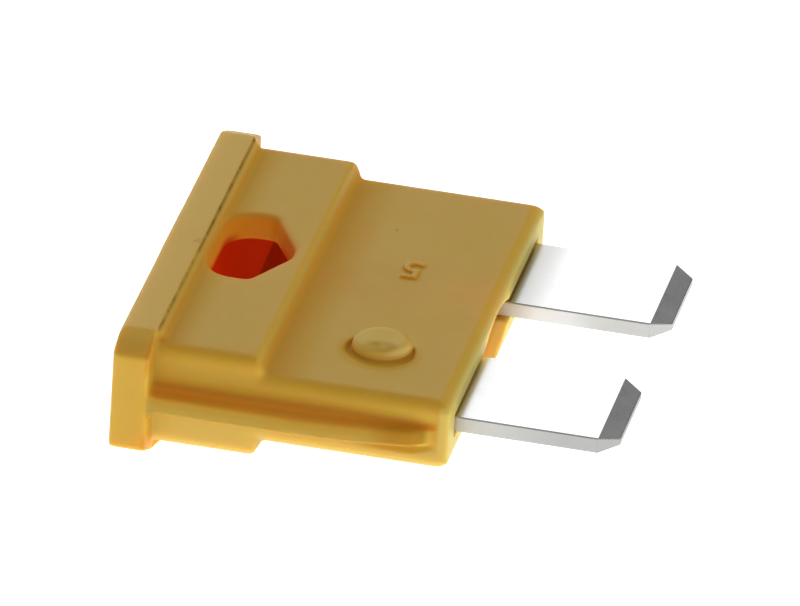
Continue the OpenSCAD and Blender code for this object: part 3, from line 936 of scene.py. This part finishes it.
def metal_material():
    """Bright plating on rolled sheet, duller on the sheared edges and the coined tips."""
    material, nodes, shader = new_material("bright_plating")
    vector, x, y, z = place_in_mm(nodes)
    normal = nodes.add("ShaderNodeTexCoord").outputs["Normal"]
    facing = nodes.add("ShaderNodeSeparateXYZ", {"Vector": normal}).outputs["Z"]
    flatness = nodes.math("ABSOLUTE", facing)
    edge = nodes.remap(flatness, 0.5, 0.75, 1.0, 0.0)
    tip = nodes.product(
        nodes.remap(flatness, 0.985, 0.995, 1.0, 0.0),
        nodes.remap(x, element_hi.x - 0.85, element_hi.x - 0.78),
    )
    clouds = nodes.blotches(vector, 0.8, 1.6)
    colour = nodes.mix(nodes.product(clouds, 0.6), BRIGHT, CLOUDED)
    turned_y = nodes.product(y, nodes.math("SIGN", z))
    # Painted shade near the blades' roots, standing for the housing's shadow and its dark reflection
    root = nodes.product(nodes.remap(x, 2.2, 0.3), nodes.remap(turned_y, -3.0, 3.0, 0.4, 0.9))
    colour = nodes.mix(root, colour, ROOT_SHADE)
    coined = nodes.mix(nodes.blotches(vector, 0.5, 2.5), COINED, STRUCK)
    colour = nodes.mix(tip, colour, coined)
    # The sheared sides are lighter near one root, and darker towards the other tip
    lighter_near_root = nodes.product(nodes.remap(x, 3.8, 2.0), nodes.remap(x, 0.2, 1.2), nodes.remap(y, -0.5, 0.5))
    darker_to_tip = nodes.product(nodes.remap(x, 0.8, 4.5), nodes.remap(y, 0.5, -0.5))
    sides = nodes.mix(darker_to_tip, nodes.mix(lighter_near_root, SHEARED, SHEARED_LIGHTER), SHEARED_DARKER)
    colour = nodes.mix(edge, colour, sides)
    nodes.feed(shader.inputs["Base Color"], colour)
    rolled = nodes.add("ShaderNodeMapping", {"Vector": vector, "Scale": (0.35, 9.0, 2.0)})
    grain = nodes.group(
        GRAIN, vector=rolled.outputs["Vector"], coarse_scale=1.2, fine_scale=4.0, fine_share=0.5
    )
    struck = nodes.add("ShaderNodeMapping", {"Vector": vector, "Scale": (11.0, 11.0, 0.8)})
    shear = nodes.group(
        GRAIN, vector=struck.outputs["Vector"], coarse_scale=1.0, fine_scale=3.0, fine_share=0.5
    )
    height = nodes.add("ShaderNodeMix", {
        "Factor": edge, "A": grain["Height"], "B": shear["Height"],
    }, data_type="FLOAT").outputs["Result"]
    gloss = nodes.math("ADD", nodes.product(grain["Variation"], 0.08), 0.17)
    for mask, share in ((clouds, 0.05), (edge, 0.22), (tip, 0.05)):
        gloss = nodes.math("ADD", gloss, nodes.product(mask, share))
    nodes.feed(shader.inputs["Roughness"], gloss)
    bump = nodes.add("ShaderNodeBump", {"Strength": 1.0, "Distance": 0.0015 * MM, "Height": height})
    nodes.feed(shader.inputs["Normal"], bump.outputs["Normal"])
    shader.inputs["Metallic"].default_value = 1.0
    return material


def floor_material():
    """White sweep lit from below, which can't be seen from underneath."""
    material, nodes, shader = new_material("white_sweep")
    shader.inputs["Base Color"].default_value = (0.88, 0.88, 0.88, 1)
    shader.inputs["Roughness"].default_value = 0.9
    shader.inputs["Specular IOR Level"].default_value = 0.0
    shader.inputs["Emission Color"].default_value = (1, 1, 1, 1)
    shader.inputs["Emission Strength"].default_value = 0.95
    clear = nodes.add("ShaderNodeBsdfTransparent")
    behind = nodes.add("ShaderNodeNewGeometry").outputs["Backfacing"]
    pick = nodes.add("ShaderNodeMixShader", {0: behind, 1: shader.outputs["BSDF"], 2: clear.outputs[0]})
    nodes.feed(material.node_tree.nodes["Material Output"].inputs["Surface"], pick.outputs[0])
    return material


# ---- Stage ---------------------------------------------------------------------------------

# The fuse lies on the head's lower inner edge, the lower button and a corner of the body's end
REST_HEAD = Vector((HEAD_INNER_X, -8.2, -HEAD_TOP))
REST_BUTTON = Vector((BUTTON[0] + 0.8, -BUTTON[1], -BUTTON_TOP + 0.02))
REST_END = Vector((-0.3, -8.3, -BODY_TOP))
FLOOR_RADIUS = 900
ROOM_LEVEL = 0.24
PANEL_DISTANCE = 1.4
CAMERA_DIRECTION = (10.719, 27.954)
CAMERA_ROLL = 3.634
CAMERA_AIM = Vector((-3.7395, -0.2453, 0.9265))
CAMERA_DISTANCE = 718.438
LENS = 856.606
SENSOR_WIDTH = 36


def make_floor(pieces):
    """A flat floor that touches the fuse where it is lowest."""
    up = (REST_END - REST_HEAD).cross(REST_BUTTON - REST_HEAD).normalized()
    lowest = min(up.dot(vert.co) for piece in pieces for vert in piece.data.vertices) / MM
    shape = bmesh.new()
    bmesh.ops.create_circle(shape, cap_ends=True, radius=FLOOR_RADIUS, segments=96)
    place = Matrix.Translation(up * lowest) @ up.to_track_quat("Z", "Y").to_matrix().to_4x4()
    bmesh.ops.transform(shape, matrix=Matrix.Scale(MM, 4) @ place, verts=shape.verts)
    floor = new_object("floor", mesh_of(shape, "floor"))
    floor.data.materials.append(floor_material())


def make_world():
    """An even grey room, which the camera sees as white."""
    world = bpy.data.worlds.new("studio")
    SCENE.world = world
    world.use_nodes = True
    nodes = Nodes(world.node_tree)
    background = world.node_tree.nodes["Background"]
    seen = nodes.add("ShaderNodeLightPath").outputs["Is Camera Ray"]
    level = nodes.add("ShaderNodeMix", {"Factor": seen, "A": ROOM_LEVEL, "B": 1.0}, data_type="FLOAT")
    nodes.feed(background.inputs["Strength"], level.outputs["Result"])
    background.inputs["Color"].default_value = (1, 1, 1, 1)


def direction(azimuth, elevation):
    """From the fuse towards a place round it: azimuth 0 is -Y and 90 is +X."""
    a, e = math.radians(azimuth), math.radians(elevation)
    return Vector((math.sin(a) * math.cos(e), -math.cos(a) * math.cos(e), math.sin(e)))


def make_panel(name, azimuth, elevation, wide, high, level):
    """A soft panel that covers so many degrees across and upwards, as bright as level."""
    panel = bpy.data.lights.new(name, "AREA")
    panel.shape = "RECTANGLE"
    panel.size = 2 * PANEL_DISTANCE * math.tan(math.radians(wide / 2))
    panel.size_y = 2 * PANEL_DISTANCE * math.tan(math.radians(high / 2))
    panel.energy = level * math.pi * panel.size * panel.size_y
    light = new_object(name, panel)
    towards = direction(azimuth, elevation)
    light.location = towards * PANEL_DISTANCE
    light.rotation_mode = "QUATERNION"
    light.rotation_quaternion = towards.to_track_quat("Z", "Y")
    light.visible_camera = False


def make_camera():
    """Looks down on the fuse from its near side, a little from the blades' end, and leans."""
    back = direction(*CAMERA_DIRECTION)
    roll = math.radians(CAMERA_ROLL)
    lens = bpy.data.cameras.new("camera")
    lens.lens = LENS
    lens.sensor_width = SENSOR_WIDTH
    camera = new_object("camera", lens)
    right = Vector((0, 0, 1)).cross(back).normalized()
    up = back.cross(right)
    turned_right = right * math.cos(roll) + up * math.sin(roll)
    turned_up = up * math.cos(roll) - right * math.sin(roll)
    place = Matrix((turned_right, turned_up, back)).transposed().to_4x4()
    place.translation = (CAMERA_AIM + back * CAMERA_DISTANCE) * MM
    camera.matrix_world = place
    SCENE.camera = camera


housing = make_housing(plastic_material())
element = make_element(metal_material())
make_floor((housing, element))
make_world()
make_panel("side_softbox", 90, 45, 60, 60, 0.55)
make_panel("back_panel", 211, 28, 54, 42, 1.3)
make_camera()
SCENE.view_settings.view_transform = "Standard"
